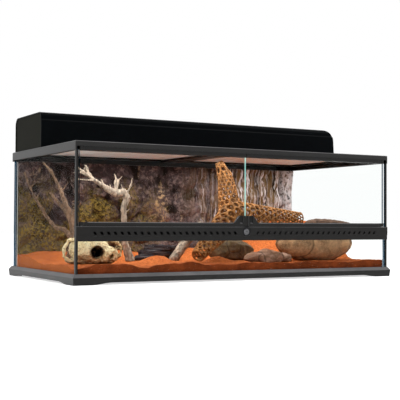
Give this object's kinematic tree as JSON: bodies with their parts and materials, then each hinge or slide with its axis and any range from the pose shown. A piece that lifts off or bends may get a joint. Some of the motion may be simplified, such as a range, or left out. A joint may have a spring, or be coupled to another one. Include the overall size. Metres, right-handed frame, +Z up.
{
  "type": "reptile terrarium",
  "caption": "Low, wide glass terrarium with hinged front doors over a slotted vent strip, a lock, a lift-off screen cover, a light hood and a desert habitat.",
  "frame": {"origin": "centre of the footprint, on the surface the tank stands on", "axes": "+X to the right seen from the front, +Y to the back, +Z up; the doors face -Y"},
  "size_m": [0.912, 0.462, 0.4132],
  "materials": {
    "black_plastic": "satin black",
    "clear_glass": "clear float glass",
    "sealant": "black silicone",
    "gloss_black": "glossy black",
    "bright_metal": "nickel plated",
    "steel": "plain steel",
    "steel_mesh": "woven wire mesh",
    "end_plate": "matte dark olive",
    "reflector": "bright sheet",
    "socket_ceramic": "matt",
    "box_plastic": "matte",
    "rock_panel": "painted rigid foam",
    "orange_sand": "loose orange sand",
    "bone": "painted cast resin",
    "pale_wood": "sun-bleached",
    "dark_wood": "weathered",
    "cactus_skeleton": "dry and netted",
    "bark": "rough",
    "tan_stone": "weathered",
    "red_stone": "weathered",
    "dark_stone": "weathered",
    "slate": "layered"
  },
  "bodies": {
    "tank": {"base_frame": "black_plastic", "floor_glass": "clear_glass", "left_side_glass": "clear_glass", "right_side_glass": "clear_glass", "rear_glass": "clear_glass", "lower_front_glass": "clear_glass", "corner_seals": "sealant", "left_corner_post": "black_plastic", "right_corner_post": "black_plastic", "vent_strip": "black_plastic", "lock_collar": "gloss_black", "top_frame": "black_plastic", "rock_background": "rock_panel", "sand_bed": "orange_sand", "animal_skull": "bone", "pale_driftwood": "pale_wood", "dark_driftwood": "dark_wood", "cactus_wood": "cactus_skeleton", "leaning_log": "pale_wood", "bark_slab": "bark", "boulder": "tan_stone", "flat_stone": "red_stone", "dark_rock": "dark_stone", "layered_rock": "slate"},
    "left_door": {"left_door_glass": "clear_glass", "left_door_lower_rail": "black_plastic", "left_door_upper_rail": "black_plastic", "left_door_pins": "steel"},
    "right_door": {"right_door_glass": "clear_glass", "right_door_lower_rail": "black_plastic", "right_door_upper_rail": "black_plastic", "right_door_pins": "steel"},
    "lock": {"lock_barrel": "bright_metal", "lock_cam": "steel"},
    "cover": {"screen_frame": "black_plastic", "left_screen_mesh": "steel_mesh", "right_screen_mesh": "steel_mesh"},
    "hood": {"hood_housing": "black_plastic", "hood_end_plate": "end_plate", "hood_reflector": "reflector", "lamp_socket_1": "socket_ceramic", "lamp_socket_2": "socket_ceramic", "lamp_socket_3": "socket_ceramic", "lamp_socket_4": "socket_ceramic", "terminal_box": "box_plastic", "cable_gland": "gloss_black", "switch_bezel": "gloss_black"},
    "switch": {"switch_rocker": "gloss_black"},
    "shutter_1": {"inlet_shutter_1": "black_plastic"},
    "shutter_2": {"inlet_shutter_2": "black_plastic"},
    "shutter_3": {"inlet_shutter_3": "black_plastic"},
    "shutter_4": {"inlet_shutter_4": "black_plastic"}
  },
  "joints": [
    {"name": "left_door_hinge", "type": "hinge", "parent": "tank", "child": "left_door", "pos_m": [-0.4325, -0.22, 0.22], "axis": [0, 0, -1], "range_deg": [0, 110]},
    {"name": "right_door_hinge", "type": "hinge", "parent": "tank", "child": "right_door", "pos_m": [0.4325, -0.22, 0.22], "axis": [0, 0, 1], "range_deg": [0, 110]},
    {"name": "lock_turn", "type": "hinge", "parent": "tank", "child": "lock", "pos_m": [0, -0.222, 0.1198], "axis": [0, -1, 0], "range_deg": [0, 90]},
    {"name": "cover_lift", "type": "slide", "parent": "tank", "child": "cover", "axis": [0, 0, 1], "range_m": [0, 0.15]},
    {"name": "hood_lift", "type": "slide", "parent": "cover", "child": "hood", "axis": [0, 0, 1], "range_m": [0, 0.15]},
    {"name": "switch_tilt", "type": "hinge", "parent": "hood", "child": "switch", "pos_m": [0.3785, 0.2035, 0.3562], "axis": [1, 0, 0], "range_deg": [0, 14]},
    {"name": "shutter_1_slide", "type": "slide", "parent": "tank", "child": "shutter_1", "axis": [1, 0, 0], "range_m": [0, 0.029]},
    {"name": "shutter_2_slide", "type": "slide", "parent": "tank", "child": "shutter_2", "axis": [1, 0, 0], "range_m": [0, 0.029]},
    {"name": "shutter_3_slide", "type": "slide", "parent": "tank", "child": "shutter_3", "axis": [-1, 0, 0], "range_m": [0, 0.029]},
    {"name": "shutter_4_slide", "type": "slide", "parent": "tank", "child": "shutter_4", "axis": [-1, 0, 0], "range_m": [0, 0.029]}
  ]
}
